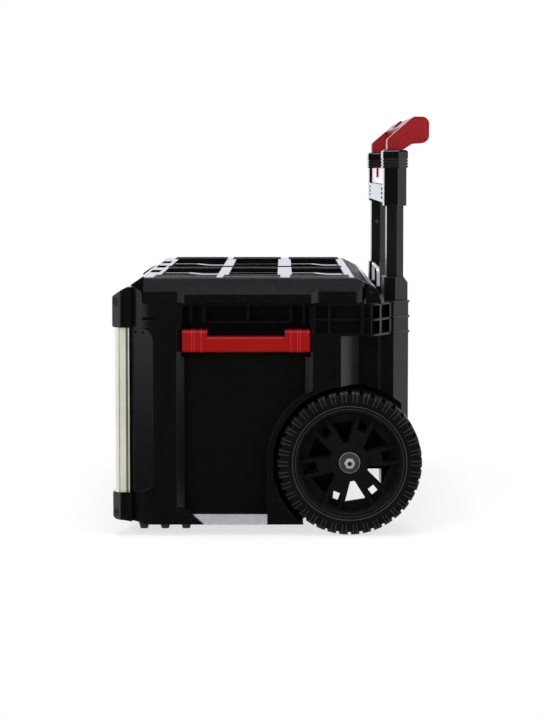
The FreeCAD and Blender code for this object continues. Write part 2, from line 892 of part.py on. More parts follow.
top_cuts.append(box(0, pocket_inner_x, pocket_spans[0][0] - mid_margin, pocket_spans[-1][1] + mid_margin,
                    lid_top - mid_drop, lid_top + past))
slot_front = lid_top_front + slot_setback
slots = [box(x - slot_width / 2, x + slot_width / 2, slot_front, slot_front + slot_length,
             lid_top - pocket_depth, lid_top + past) for x in (-slot_pitch, 0, slot_pitch)]
lid = lid.cut(both(top_cuts) + slots)

# Rear slope with fins that end over the hinge
knuckle_x = hinge_lug_x - lid_seam
slope_drop = lid_plate / 2
lid = lid.cut(prism_x([
    (lid_top_rear, lid_top + past),
    (lid_top_rear, lid_top - slope_drop / 2),
    (lid_rear + past, lid_top - slope_drop / 2 - slope_drop),
    (lid_rear + past, lid_top + past),
], -knuckle_x + fin_thickness, knuckle_x - fin_thickness))
arm = prism_x([
    (lid_rear - arm_depth, lid_base + past),
    (lid_rear - arm_depth, lid_top - slope_drop - arm_drop),
    (hinge_y, hinge_z + knuckle_radius),
    (hinge_y, hinge_z - knuckle_radius),
], -knuckle_x, knuckle_x)
knuckle = rod_x(hinge_y, hinge_z, knuckle_radius, -knuckle_x, knuckle_x)
fin_pitch = (2 * knuckle_x - fin_thickness) / (fin_count - 1)
fins = [prism_x([
    (lid_top_rear - past, lid_top - slope_drop),
    (lid_top_rear - past, lid_top),
    (lid_top_rear + past, lid_top),
    (hinge_y + fin_reach, hinge_z + fin_rise),
    (hinge_y + fin_reach, hinge_z),
    (hinge_y, hinge_z),
], -knuckle_x + i * fin_pitch, -knuckle_x + i * fin_pitch + fin_thickness) for i in range(fin_count)]
lid = lid.fuse([arm, knuckle] + fins)

# Underside: hollow, seal groove, notches round the corner caps, hinge bore
lid_room = prism_z(cavity_plan, lid_base - past, lid_top - lid_plate)
notch_gap = 1.5 * lid_seam
notches = [
    box(cap_x - notch_gap, reach_x, cap_front, cap_rear + notch_gap, lid_base - past, lid_top + past),
    box(side_x - profile_leg_x - notch_gap, reach_x, cap_front, front_y + notch_gap,
        lid_base - past, lid_top + past),
]


def seal_ring(z0, z1):
    inner = seal_inset
    outer = seal_inset + seal_width
    whole = prism_z(symmetric([
        (cavity_half + outer, cavity_front - outer, cavity_radius + outer),
        (cavity_half + outer, cavity_rear + outer, cavity_radius + outer),
    ]), z0, z1)
    return whole.cut(prism_z(symmetric([
        (cavity_half + inner, cavity_front - inner, cavity_radius + inner),
        (cavity_half + inner, cavity_rear + inner, cavity_radius + inner),
    ]), z0, z1))


lid = lid.cut([lid_room, seal_ring(lid_base - past, rim_z + seal_height), rod_hole] + both(notches))
latch_y = front_y - latch_offset
latch_z = rim_z + latch_rise
latch_lugs = []
for edge in (latch_x - latch_width / 2 - slip_gap - latch_lug, latch_x + latch_width / 2 + slip_gap):
    latch_lugs.append(prism_x([
        (front_y + past, lid_base),
        (front_y + past, latch_z + latch_barrel),
        (latch_y - latch_barrel, latch_z + latch_barrel, latch_round),
        (latch_y - latch_barrel, lid_base),
    ], edge, edge + latch_lug))
latch_ends = (latch_x - latch_width / 2 - latch_lug, latch_x + latch_width / 2 + latch_lug)
latch_bore = rod_x(latch_y, latch_z, latch_pin_radius + fit_gap, latch_ends[0] - past, latch_ends[1] + past)
lid = lid.fuse(both(latch_lugs)).cut(both([latch_bore]))
save("lid", [lid])
save("lid_seal", [seal_ring(rim_z, rim_z + seal_height)])
save("latch_pins", both([rod_x(latch_y, latch_z, latch_pin_radius, latch_ends[0], latch_ends[1])]))

# Front latches: a barrel on the pin, a hanging plate, a snap bead that stops just clear of the tub
plate_front = latch_y - latch_barrel
latch = rod_x(latch_y, latch_z, latch_barrel, latch_x - latch_width / 2, latch_x + latch_width / 2)
latch = latch.fuse(prism_x([
    (plate_front, latch_z),
    (plate_front + latch_plate, latch_z),
    (plate_front + latch_plate, latch_z - latch_length / 2 + latch_bead),
    (front_y - slip_gap, latch_z - latch_length / 2),
    (plate_front + latch_plate, latch_z - latch_length / 2 - latch_bead),
    (plate_front + latch_plate, latch_z - latch_length, latch_edge),
    (plate_front - latch_curl, latch_z - latch_length, latch_edge),
    (plate_front, latch_z - latch_length + latch_curl_height),
], latch_x - latch_width / 2, latch_x + latch_width / 2))
save_pair("front_latch", [latch.cut(latch_bore)])

# Wheels: a treaded tyre on a spoked rim that turns on a bush
def turned(points):
    # Body of revolution about the axle from (x, radius) points.
    wire = outline_wire(points, lambda x, r: vec(x, wheel_y, axle_z + r))
    return Part.Face(wire).revolve(vec(0, wheel_y, axle_z), vec(1, 0, 0), 360)


def turn_about_axle(shape, degrees):
    copy = shape.copy()
    copy.rotate(vec(0, wheel_y, axle_z), vec(-1, 0, 0), degrees)
    return copy


rim_radius = wheel_radius - tyre_height
tyre = turned([
    (wheel_inner_x + bead_inset, rim_radius),
    (wheel_inner_x, wheel_radius - shoulder - sidewall, sidewall_round),
    (wheel_inner_x, wheel_radius, shoulder),
    (wheel_outer_x, wheel_radius, shoulder),
    (wheel_outer_x, wheel_radius - shoulder - sidewall, sidewall_round),
    (wheel_outer_x - bead_inset, rim_radius),
])
groove_width = groove_share * 2 * math.pi * wheel_radius / tread_count
groove_top = axle_z + wheel_radius
outer_groove_x = wheel_inner_x + groove_outer_start * wheel_width
inner_groove_x = wheel_inner_x + groove_inner_end * wheel_width
outer_groove = box(outer_groove_x, wheel_outer_x + past, wheel_y - groove_width / 2,
                   wheel_y + groove_width / 2, groove_top - tread_depth, groove_top + past)
inner_groove = box(wheel_inner_x - past, inner_groove_x, wheel_y - groove_width / 2,
                   wheel_y + groove_width / 2, groove_top - tread_depth, groove_top + past)
tread_step = 360.0 / tread_count
grooves = [turn_about_axle(outer_groove, i * tread_step) for i in range(tread_count)]
grooves += [turn_about_axle(inner_groove, (i + 0.5) * tread_step) for i in range(tread_count)]
save_pair("tyre", [tyre.cut(grooves)])

plate_x = wheel_inner_x + plate_inset
ring_inner = rim_radius - rim_lip - ring_step
hub_inner_x = wheel_inner_x + past
rim = turned([
    (wheel_inner_x + bead_inset, ring_inner + ring_step),
    (wheel_inner_x + bead_inset, rim_radius),
    (wheel_outer_x - bead_inset, rim_radius),
    (wheel_outer_x - bead_inset, rim_radius - rim_lip),
    (wheel_outer_x - lip_run, ring_inner),
    (plate_x, ring_inner),
    (plate_x, ring_inner + ring_step),
])
rim = rim.fuse(turned([
    (plate_x, bush_radius),
    (plate_x, ring_inner + past),
    (plate_x + plate_thickness, ring_inner + past),
    (plate_x + plate_thickness, bush_radius),
]))
rim = rim.fuse(rod_x(wheel_y, axle_z, hub_radius, hub_inner_x, hub_outer_x))
spoke_face = plate_x + plate_thickness + spoke_rise
spoke = prism_x([
    (wheel_y - spoke_width / 2, axle_z + hub_radius - spoke_root),
    (wheel_y + spoke_width / 2, axle_z + hub_radius - spoke_root),
    (wheel_y + spoke_width / 2 + spoke_flare, axle_z + ring_inner + past),
    (wheel_y - spoke_width / 2 - spoke_flare, axle_z + ring_inner + past),
], plate_x, spoke_face)
spoke_step = 360.0 / spoke_count
rim = rim.fuse([turn_about_axle(spoke, spoke_turn + i * spoke_step) for i in range(spoke_count)])
window_root = hub_radius + window_gap
window_tip = hub_radius + window_share * (ring_inner - hub_radius)
window_half = window_tip * math.tan(math.radians(window_half_angle))
window = prism_x([
    (wheel_y - window_root_half, axle_z + window_root, window_round),
    (wheel_y + window_root_half, axle_z + window_root, window_round),
    (wheel_y + window_half, axle_z + window_tip, window_round),
    (wheel_y - window_half, axle_z + window_tip, window_round),
], wheel_inner_x, wheel_outer_x)
eye_root = hub_radius + eye_share * (ring_inner - hub_radius)
eye = box(wheel_inner_x, wheel_outer_x, wheel_y - eye_size / 2, wheel_y + eye_size / 2,
          axle_z + eye_root, axle_z + eye_root + eye_size)
hollow = prism_x([
    (wheel_y - eye_size / 2 - hollow_margin, axle_z + eye_root - hollow_margin),
    (wheel_y + eye_size / 2 + hollow_margin, axle_z + eye_root - hollow_margin),
    (wheel_y + eye_size / 2 + hollow_margin + hollow_flare, axle_z + ring_inner - hollow_floor),
    (wheel_y - eye_size / 2 - hollow_margin - hollow_flare, axle_z + ring_inner - hollow_floor),
], plate_x + hollow_floor, spoke_face + past)
openings = [turn_about_axle(window, spoke_turn + (i + 0.5) * spoke_step) for i in range(spoke_count)]
openings += [turn_about_axle(eye, spoke_turn + i * spoke_step) for i in range(spoke_count)]
openings += [turn_about_axle(hollow, spoke_turn + i * spoke_step) for i in range(spoke_count)]
openings.append(rod_x(wheel_y, axle_z, bush_radius + fit_gap, hub_inner_x - past, hub_outer_x + past))
save_pair("wheel_rim", [rim.cut(openings)])
bush = rod_x(wheel_y, axle_z, bush_radius, hub_inner_x, hub_outer_x)
bush = bush.cut(rod_x(wheel_y, axle_z, axle_radius + fit_gap, hub_inner_x - past, hub_outer_x + past))
save_pair("wheel_bush", [bush])
spacer = rod_x(wheel_y, axle_z, axle_radius + spacer_wall, well_x, hub_inner_x - slip_gap)
spacer = spacer.cut(rod_x(wheel_y, axle_z, axle_radius + fit_gap, well_x - past, wheel_inner_x + past))
save("wheel_spacers", both([spacer]))
stud_bore = rod_x(wheel_y, axle_z, stud_radius + fit_gap, stud_start - past, stud_end + past)
washer = rod_x(wheel_y, axle_z, washer_radius, stud_start, stud_start + washer_thickness)
save("wheel_washers", both([washer.cut(stud_bore)]))
nut_radius = nut_across / math.sqrt(3)
nut_points = [(wheel_y + nut_radius * math.cos(math.radians(60 * k)),
               axle_z + nut_radius * math.sin(math.radians(60 * k))) for k in range(6)]
nut = prism_x(nut_points, stud_start + washer_thickness, stud_start + washer_thickness + nut_height)
save("wheel_nuts", both([nut.cut(stud_bore)]))

# Side handles: a bar between two end blocks that hang on pins in the tub's panel
bar_inner = side_x - grip_bar_inset
bar_outer = bar_inner + grip_bar_depth
bar_section = [
    (bar_inner, grip_bar_z, grip_bar_inner_round),
    (bar_outer, grip_bar_z, grip_bar_round),
    (bar_outer, grip_bar_z + grip_bar_height, grip_bar_round),
    (bar_inner, grip_bar_z + grip_bar_height, grip_bar_inner_round),
]
block_section = bar_section[:2] + [
    (bar_outer, grip_top, grip_block_round),
    (bar_inner, grip_top, grip_block_inner_round),
]
side_handle = prism_y(bar_section, grip_front, grip_rear)
for end in (grip_front, grip_rear - grip_block):
    side_handle = side_handle.fuse(prism_y(block_section, end, end + grip_block))
pin_bores = [
    rod_y(grip_pin_x, grip_pin_z, grip_pin_radius + fit_gap,
          grip_front - past, grip_front + grip_pin_length / 2 + past),
    rod_y(grip_pin_x, grip_pin_z, grip_pin_radius + fit_gap,
          grip_rear - grip_pin_length / 2 - past, grip_rear + past),
]
save_pair("side_handle", [side_handle.cut(pin_bores)])

# Telescopic handle: fixed outer tubes in sockets, sleeves and collars at their tops
lock_z = tube_foot_z + inner_tube_foot + plunger_z
lock_y = tube_y - plunger_setback
lock_holes = [rod_x(lock_y, lock_z + lift, plunger_radius + slip_gap, tube_x - outer_tube_x, tube_x)
              for lift in (0.0, handle_lift)]
outer_tube = prism_z(tube_section(0), tube_foot_z, tube_top)
tube_core = prism_z(tube_section(-tube_wall), tube_foot_z - past, tube_top + past)
outer_tube = outer_tube.cut([tube_core] + lock_holes)
save_pair("outer_tube", [outer_tube])
socket_rear = column_reach - socket_rear_gap
socket = prism_z(ringed(tube_x, tube_y, socket_half, socket_front, socket_rear, socket_chamfer),
                 rim_z, rim_z + socket_height)
socket = socket.cut([
    prism_z(tube_section(fit_gap), rim_z - past, rim_z + socket_height + past),
    prism_x([
        (tube_y + socket_rear - socket_top_run, rim_z + socket_height + past),
        (tube_y + socket_rear + past, rim_z + socket_height + past),
        (tube_y + socket_rear + past, rim_z + socket_height - socket_top_drop),
    ], tube_x - socket_half, tube_x + socket_half),
])
save_pair("tube_socket", [socket])
sleeve = prism_z(tube_section(sleeve_skin), sleeve_z, tube_top)
save_pair("tube_sleeve", [sleeve.cut(prism_z(tube_section(fit_gap), sleeve_z - past, tube_top + past))])
collar = prism_z(tube_section(collar_skin), tube_top, collar_top)
collar_rim = [edge for edge in collar.Edges if edge.BoundBox.ZMin > collar_top - past]
collar = collar.makeFillet(collar_round, collar_rim)
collar_cuts = [prism_z(tube_section(-tube_wall), tube_top - past, collar_top + past)]
groove_core = prism_z(tube_section(collar_skin - collar_groove), tube_top, collar_top)
for index in range(1, collar_grooves + 1):
    low = tube_top + index * collar_groove_pitch - collar_groove_height
    ring = prism_z(tube_section(collar_skin + past), low, low + collar_groove_height)
    collar_cuts.append(ring.cut(groove_core))
save_pair("tube_collar", [collar.cut(collar_cuts)])

# Cross brace between the sleeves: slotted lower bar, notched upper panel
brace_half = tube_x - outer_tube_x / 2 - sleeve_skin
brace_front = tube_y - outer_tube_y / 2 - sleeve_skin
brace_z = tube_top - brace_high - brace_low
brace = box(-brace_half, brace_half, brace_front, brace_front + brace_depth, brace_z, brace_z + brace_low)
slot_step = brace_low / 4
brace_slots = [box(brace_half - brace_slot_start - brace_slot_length, brace_half - brace_slot_start,
                   brace_front - past, brace_front + brace_slot_depth,
                   brace_z + slot_step * (i + 0.8), brace_z + slot_step * (i + 1.3)) for i in range(3)]
save("cross_brace", [brace.cut(both(brace_slots))])
brace_panel_half = brace_half - brace_panel_inset
brace_panel_front = brace_front + brace_panel_setback
brace_panel = box(-brace_panel_half, brace_panel_half, brace_panel_front, brace_front + brace_depth,
                  brace_z + brace_low, tube_top)
notch = box(-brace_notch_width / 2, brace_notch_width / 2, brace_panel_front - past,
            brace_panel_front + brace_notch_depth, tube_top - brace_notch_height, tube_top + past)
save("brace_panel", [brace_panel.cut(notch)])

# Sliding half: inner tubes, lock housings and plungers, red grip with its release button
slide_inset = tube_wall + slip_gap
inner_foot = tube_foot_z + inner_tube_foot
grip_base = collar_top + slip_gap
inner_tube = prism_z(tube_section(-slide_inset), inner_foot, grip_base)
inner_core = prism_z(tube_section(-slide_inset - tube_wall), inner_foot - past, grip_base + past)
plunger_hole = rod_x(lock_y, lock_z, plunger_radius + slip_gap, tube_x - outer_tube_x, tube_x)
inner_tube = inner_tube.cut([inner_core, plunger_hole])
save_pair("inner_tube", [inner_tube])
bore_section = tube_section(-slide_inset - tube_wall - fit_gap)
plunger_tip = tube_x - outer_tube_x / 2 + slide_inset
plunger_end = tube_x - plunger_travel
housing = prism_z(bore_section, lock_z - plunger_block / 2, lock_z + plunger_block / 2)
housing = housing.cut(rod_x(lock_y, lock_z, plunger_radius + fit_gap, tube_x - outer_tube_x,
                            plunger_end + plunger_travel + slip_gap))
save_pair("lock_housing", [housing])
save_pair("lock_plunger", [rod_x(lock_y, lock_z, plunger_radius, plunger_tip, plunger_end)])


def grip_points(offsets):
    return [(tube_y + o[0], grip_base + o[1]) + tuple(o[2:]) for o in offsets]


grip_top_rise = grip_rise - slip_gap
slope_foot = (-grip_foot_front, grip_slope_rise)
slope_head = (grip_slope_run, grip_top_rise)
slope = math.atan2(slope_head[1] - slope_foot[1], slope_head[0] - slope_foot[0])
grip_back = [
    slope_head + (grip_brow_round,),
    (grip_reach, grip_top_rise, grip_crown_round),
    (grip_reach, grip_heel_rise, grip_heel_round),
]
arm_outline = grip_points([(-grip_foot_front, 0.0), slope_foot + (grip_slope_round,)] + grip_back + [
    (grip_under_run, grip_heel_rise - grip_under_drop, grip_under_round),
    (grip_foot_rear, 0.0),
])
bar_start = (grip_bar_front, slope_foot[1] + (grip_bar_front - slope_foot[0]) * math.tan(slope))
bar_foot = (grip_bar_under, grip_bar_under_rise, grip_under_round / 2)
bar_outline = grip_points([bar_start] + grip_back + [bar_foot])
arm_inner = tube_x - grip_arm / 2
grip = prism_x(bar_outline, -arm_inner, arm_inner)
arm = prism_x(arm_outline, arm_inner, arm_inner + grip_arm)
plug = prism_z(bore_section, grip_base - grip_plug, grip_base)
grip = grip.fuse(both([arm, plug]))
button_y = tube_y + (bar_start[0] + slope_head[0]) / 2
button_z = grip_base + (bar_start[1] + slope_head[1]) / 2


def on_slope(grow, low, high):
    # Block square to the sloped face, centred where the button sits.
    block = box(-button_width / 2 - grow, button_width / 2 + grow, -button_length / 2 - grow,
                button_length / 2 + grow, low, high)
    block.rotate(vec(0, 0, 0), vec(1, 0, 0), math.degrees(slope))
    block.translate(vec(0, button_y, button_z))
    return block


button_depth = button_height - button_proud
grip = grip.cut(on_slope(slip_gap, -button_depth - button_travel - slip_gap, button_height))
save("grip", [grip])
save("release_button", [on_slope(0.0, -button_depth, button_proud)])

# Rear grab arch on the shelf behind the hinge
arch_z = rim_z + arch_top
arch_frame = prism_y(symmetric([
    (arch_half, rim_z),
    (arch_half, arch_z, arch_radius),
]), arch_y - arch_bar / 2, arch_y + arch_bar / 2)
arch_gap = prism_y(symmetric([
    (arch_half - arch_bar, rim_z - past),
    (arch_half - arch_bar, arch_z - arch_bar, arch_radius - arch_bar),
]), arch_y - arch_bar, arch_y + arch_bar)
save("grab_arch", [arch_frame.cut(arch_gap)])
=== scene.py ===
import json
import math
import bmesh
import bpy
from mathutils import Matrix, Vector


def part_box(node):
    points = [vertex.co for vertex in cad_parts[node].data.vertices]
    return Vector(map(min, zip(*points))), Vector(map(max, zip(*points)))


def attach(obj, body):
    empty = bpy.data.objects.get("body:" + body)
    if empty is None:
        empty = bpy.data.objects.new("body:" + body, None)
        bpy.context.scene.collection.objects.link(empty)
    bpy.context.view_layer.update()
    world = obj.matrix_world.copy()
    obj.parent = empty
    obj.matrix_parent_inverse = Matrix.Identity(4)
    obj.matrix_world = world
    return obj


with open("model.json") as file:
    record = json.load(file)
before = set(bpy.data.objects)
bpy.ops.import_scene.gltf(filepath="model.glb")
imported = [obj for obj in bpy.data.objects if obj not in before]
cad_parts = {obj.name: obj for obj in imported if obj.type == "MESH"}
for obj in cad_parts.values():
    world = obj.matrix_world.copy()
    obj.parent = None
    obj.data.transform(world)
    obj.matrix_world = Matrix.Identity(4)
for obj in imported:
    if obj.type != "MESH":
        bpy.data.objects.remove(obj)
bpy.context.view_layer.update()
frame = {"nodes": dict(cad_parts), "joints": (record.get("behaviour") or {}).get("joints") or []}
nodes = frame["nodes"]
joints = {joint["name"]: joint for joint in frame["joints"]}
scene = bpy.context.scene
scene.view_settings.view_transform = "Standard"
print("frame in:", len(nodes), "nodes")

# camera: level look along -X, tilted down a little, the rest of the framing by shift
shot = dict(place=(2.4232, 0.0147, 0.5034), sensor=36, lens=79.68, tilt=3.0, shift=(-0.0182, -0.1494))
camData = bpy.data.cameras.new("shotCamera")
camData.sensor_width = shot["sensor"]
camData.lens = shot["lens"]
camData.shift_x, camData.shift_y = shot["shift"]
cam = bpy.data.objects.new("shotCamera", camData)
cam.location = shot["place"]
cam.rotation_euler = (math.radians(90 - shot["tilt"]), 0, math.radians(90))
scene.collection.objects.link(cam)
scene.camera = cam

# soft lamps, a pale world and a white floor
lamps = {
    "topSheet": dict(place=(0.2, 0, 2.2), aim=(0.2, 0, 0.2), size=(1.0, 1.5), power=40),
    "frontSheet": dict(place=(2.3, -1.9, 2.0), aim=(0.1, 0, 0.25), size=(1.6, 1.4), power=40),
    "rearSheet": dict(place=(1.2, 2.3, 1.5), aim=(0, 0.1, 0.25), size=(1.2, 1.6), power=18),
}
studio = dict(worldColour=(0.95, 0.97, 1, 1), worldLevel=0.42, floorColour=(0.95, 0.95, 0.955, 1), floorRadius=9,
              floorSides=96, floorDrop=0.0006, whiteFrom=0.3, whiteBy=0.7, shadowKept=0.3)
pureWhite = (1, 1, 1, 1)


def softLamp(name, place, aim, size, power):
    lamp = bpy.data.lights.new(name, "AREA")
    lamp.shape = "RECTANGLE"
    lamp.size, lamp.size_y = size
    lamp.energy = power
    obj = bpy.data.objects.new(name, lamp)
    obj.location = place
    obj.rotation_euler = (Vector(aim) - Vector(place)).to_track_quat("-Z", "Y").to_euler()
    obj.visible_glossy = False  # the cards below make the reflections
    scene.collection.objects.link(obj)


for name, lamp in lamps.items():
    softLamp(name, **lamp)


def newTree(owner):
    owner.use_nodes = True
    owner.node_tree.nodes.clear()
    return owner.node_tree


def put(tree, kind, inputs=None, **settings):
    made = tree.nodes.new(kind)
    for key, value in settings.items():
        setattr(made, key, value)
    for key, value in (inputs or {}).items():
        if isinstance(value, bpy.types.NodeSocket):
            tree.links.new(value, made.inputs[key])
        else:
            made.inputs[key].default_value = value
    return made


def seenRay(tree):
    # 1 for rays from the camera, off glossy faces and through clear ones
    path = put(tree, "ShaderNodeLightPath").outputs
    seen = put(tree, "ShaderNodeMath", {0: path["Is Camera Ray"], 1: path["Is Glossy Ray"]}, operation="MAXIMUM")
    seen = put(tree, "ShaderNodeMath", {0: seen.outputs[0], 1: path["Is Transmission Ray"]}, operation="MAXIMUM")
    return seen.outputs[0]


world = bpy.data.worlds.new("paleRoom")
scene.world = world
wt = newTree(world)
roomLight = put(wt, "ShaderNodeBackground", {"Color": studio["worldColour"], "Strength": studio["worldLevel"]})
roomWhite = put(wt, "ShaderNodeBackground", {"Color": pureWhite, "Strength": 1})
room = put(wt, "ShaderNodeMixShader", {0: seenRay(wt), 1: roomLight.outputs[0], 2: roomWhite.outputs[0]})
put(wt, "ShaderNodeOutputWorld", {"Surface": room.outputs[0]})

bm = bmesh.new()
bmesh.ops.create_circle(bm, cap_ends=True, segments=studio["floorSides"], radius=studio["floorRadius"])
floorMesh = bpy.data.meshes.new("paleFloor")
bm.to_mesh(floorMesh)
bm.free()
floor = bpy.data.objects.new("paleFloor", floorMesh)
floor.location.z = -studio["floorDrop"]
scene.collection.objects.link(floor)
floorMat = bpy.data.materials.new("paleFloor")
ft = newTree(floorMat)
spot = put(ft, "ShaderNodeTexCoord")
away = put(ft, "ShaderNodeVectorMath", {0: spot.outputs["Object"]}, operation="LENGTH")
fade = put(ft, "ShaderNodeMapRange", {"Value": away.outputs["Value"], "From Min": studio["whiteFrom"],
                                      "From Max": studio["whiteBy"], "To Min": 1 - studio["shadowKept"]},
           interpolation_type="SMOOTHSTEP")
share = put(ft, "ShaderNodeMath", {0: seenRay(ft), 1: fade.outputs[0]}, operation="MULTIPLY")
matte = put(ft, "ShaderNodeBsdfDiffuse", {"Color": studio["floorColour"]})
white = put(ft, "ShaderNodeEmission", {"Color": pureWhite, "Strength": 1})
both = put(ft, "ShaderNodeMixShader", {0: share.outputs[0], 1: matte.outputs[0], 2: white.outputs[0]})
put(ft, "ShaderNodeOutputMaterial", {"Surface": both.outputs[0]})
floorMesh.materials.append(floorMat)

# cards that only reflections see: dark in front and overhead, grey behind the wheels,
# a bright strip over the front of the floor, a white sheet at the back
coolWhite = (0.90, 0.92, 1.0, 1)
cards = {
    "darkCard": dict(outline=[(0.275, 0.001), (2.8, 0.001), (3.15, 0.12), (3.3, 0.5), (3.3, 2.3), (2.9, 3.0)],
                     span=(-1.12, 1.5), level=0.02),
    "overheadCard": dict(outline=[(2.9, 3.0), (1.25, 3.3), (-0.7, 3.3)], span=(-2.8, 2.8), level=0.02),
    "greyCard": dict(outline=[(2.2, 0.002), (2.4, 0.3), (2.4, 2.6)], span=(-0.9, 3.2), level=0.95, alongX=True),
    "brightStrip": dict(outline=[(0.68, 2.4), (0.90, 2.44), (1.12, 2.4)], span=(-0.9, 0.9), level=23.5,
                        colour=coolWhite),
    "backSheet": dict(outline=[(-2.6, 0.05), (-2.6, 1.3)], span=(-2.2, 2.2), level=1.85, colour=coolWhite),
}


def reflectCard(name, outline, span, level, colour=pureWhite, alongX=False):
    # outline of (x, z) spread along Y, or of (y, z) spread along X
    mesh = bpy.data.meshes.new(name)
    bm = bmesh.new()
    rows = [[bm.verts.new((s, a, z) if alongX else (a, s, z)) for s in span] for a, z in outline]
    for low, up in zip(rows, rows[1:]):
        bm.faces.new((low[0], low[1], up[1], up[0]))
    bm.to_mesh(mesh)
    bm.free()
    obj = bpy.data.objects.new(name, mesh)
    scene.collection.objects.link(obj)
    for ray in ("camera", "diffuse", "transmission", "volume_scatter", "shadow"):
        setattr(obj, "visible_" + ray, False)
    mat = bpy.data.materials.new(name)
    t = newTree(mat)
    glow = put(t, "ShaderNodeEmission", {"Color": colour, "Strength": level})
    put(t, "ShaderNodeOutputMaterial", {"Surface": glow.outputs[0]})
    mesh.materials.append(mat)


for name, card in cards.items():
    reflectCard(name, **card)
print("camera, lamps and floor set")

# finishes: uneven tone, uneven gloss and a fine bump on one surface
pattern = dict(low=0.3, high=0.7, bumpHigh=0.0004)  # where noise mostly lies, how high its bumps stand
mould = dict(cloudy={"Detail": 5, "Roughness": 0.6}, rub={"Detail": 4, "Distortion": 0.6}, rubFiner=12,
             pebble={"Detail": 2})
drawing = dict(stretch=(260, 260, 6), streak={"Scale": 4, "Detail": 4}, cloudy={"Scale": 18, "Detail": 3},
               toneFrom=0.12, toneTo=0.4, bumpBy=0.05)


def surface(t, tone, glossFrom, gloss, bumpFrom, bumpBy, metal, level):
    rough = put(t, "ShaderNodeMapRange", {"Value": glossFrom.outputs["Fac"], "From Min": pattern["low"],
                                          "From Max": pattern["high"], "To Min": gloss[0], "To Max": gloss[1]})
    bump = put(t, "ShaderNodeBump", {"Height": bumpFrom.outputs["Fac"], "Strength": bumpBy,
                                     "Distance": pattern["bumpHigh"]})
    skin = put(t, "ShaderNodeBsdfPrincipled", {"Base Color": tone.outputs["Result"], "Roughness": rough.outputs[0],
                                               "Normal": bump.outputs[0], "Metallic": metal,
                                               "Specular IOR Level": level})
    put(t, "ShaderNodeOutputMaterial", {"Surface": skin.outputs[0]})


# plastic, rubber and plated steel: cloudy tone, pebbled grain
def mouldedFinish(name, dark, light, gloss, grain=(900, 0.06), level=0.4, cloud=22, metal=0.0):
    mat = bpy.data.materials.new(name)
    t = newTree(mat)
    at = put(t, "ShaderNodeTexCoord").outputs["Object"]
    cloudy = put(t, "ShaderNodeTexNoise", {"Vector": at, "Scale": cloud, **mould["cloudy"]})
    tone = put(t, "ShaderNodeMix", {"Factor": cloudy.outputs["Fac"], "A": (*dark, 1), "B": (*light, 1)},
               data_type="RGBA")
    rub = put(t, "ShaderNodeTexNoise", {"Vector": at, "Scale": cloud * mould["rubFiner"], **mould["rub"]})
    pebble = put(t, "ShaderNodeTexNoise", {"Vector": at, "Scale": grain[0], **mould["pebble"]})
    surface(t, tone, rub, gloss, pebble, grain[1], metal, level)
    return mat


# drawn metal: streaks along Z
def drawnMetal(name, dark, light, gloss, metal=1.0, level=0.5):
    mat = bpy.data.materials.new(name)
    t = newTree(mat)
    at = put(t, "ShaderNodeTexCoord").outputs["Object"]
    pulled = put(t, "ShaderNodeMapping", {"Vector": at, "Scale": drawing["stretch"]})
    streak = put(t, "ShaderNodeTexNoise", {"Vector": pulled.outputs[0], **drawing["streak"]})
    cloudy = put(t, "ShaderNodeTexNoise", {"Vector": at, **drawing["cloudy"]})
    blendBy = put(t, "ShaderNodeMath", {0: streak.outputs["Fac"], 1: cloudy.outputs["Fac"]}, operation="MULTIPLY")
    wide = put(t, "ShaderNodeMapRange", {"Value": blendBy.outputs[0], "From Min": drawing["toneFrom"],
                                         "From Max": drawing["toneTo"]})
    tone = put(t, "ShaderNodeMix", {"Factor": wide.outputs[0], "A": (*dark, 1), "B": (*light, 1)},
               data_type="RGBA")
    surface(t, tone, streak, gloss, streak, drawing["bumpBy"], metal, level)
    return mat


